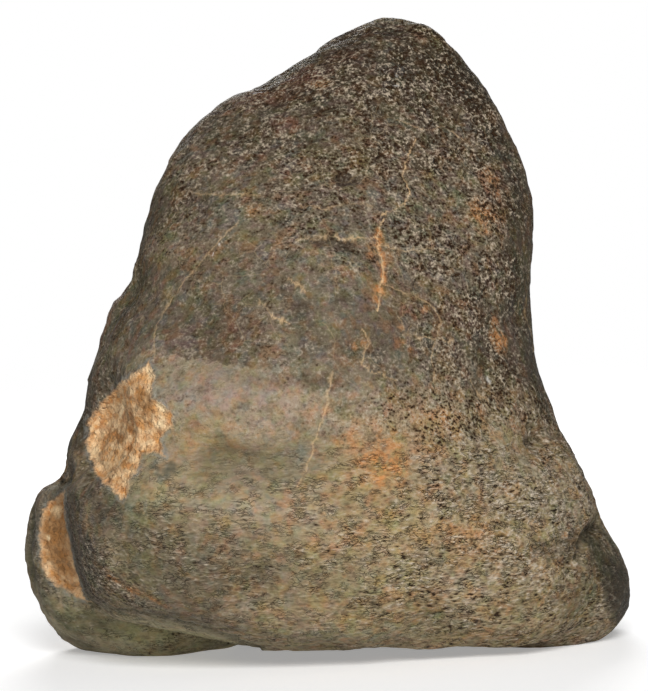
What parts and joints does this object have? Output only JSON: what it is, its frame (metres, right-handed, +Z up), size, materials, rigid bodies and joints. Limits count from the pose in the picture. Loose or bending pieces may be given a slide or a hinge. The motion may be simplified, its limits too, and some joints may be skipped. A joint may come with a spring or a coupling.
{
  "type": "chondrite meteorite",
  "caption": "Weathered stony meteorite, a leaning pyramid with a worn brow, low lobes at its base and a flat spot to stand on.",
  "frame": {"origin": "under the middle of the stone, on the surface that it stands on", "axes": "+Z up through the apex, -Y toward the steep front face with the brow, +X to the right as that face is seen"},
  "size_m": [0.116, 0.0964, 0.1193],
  "materials": {
    "weathered_stone": "worn brown fusion crust, dull with a slight sheen, with rust patches, fine pits and broken orange chips"
  },
  "bodies": {
    "root": {"meteorite": "weathered_stone"}
  },
  "joints": []
}
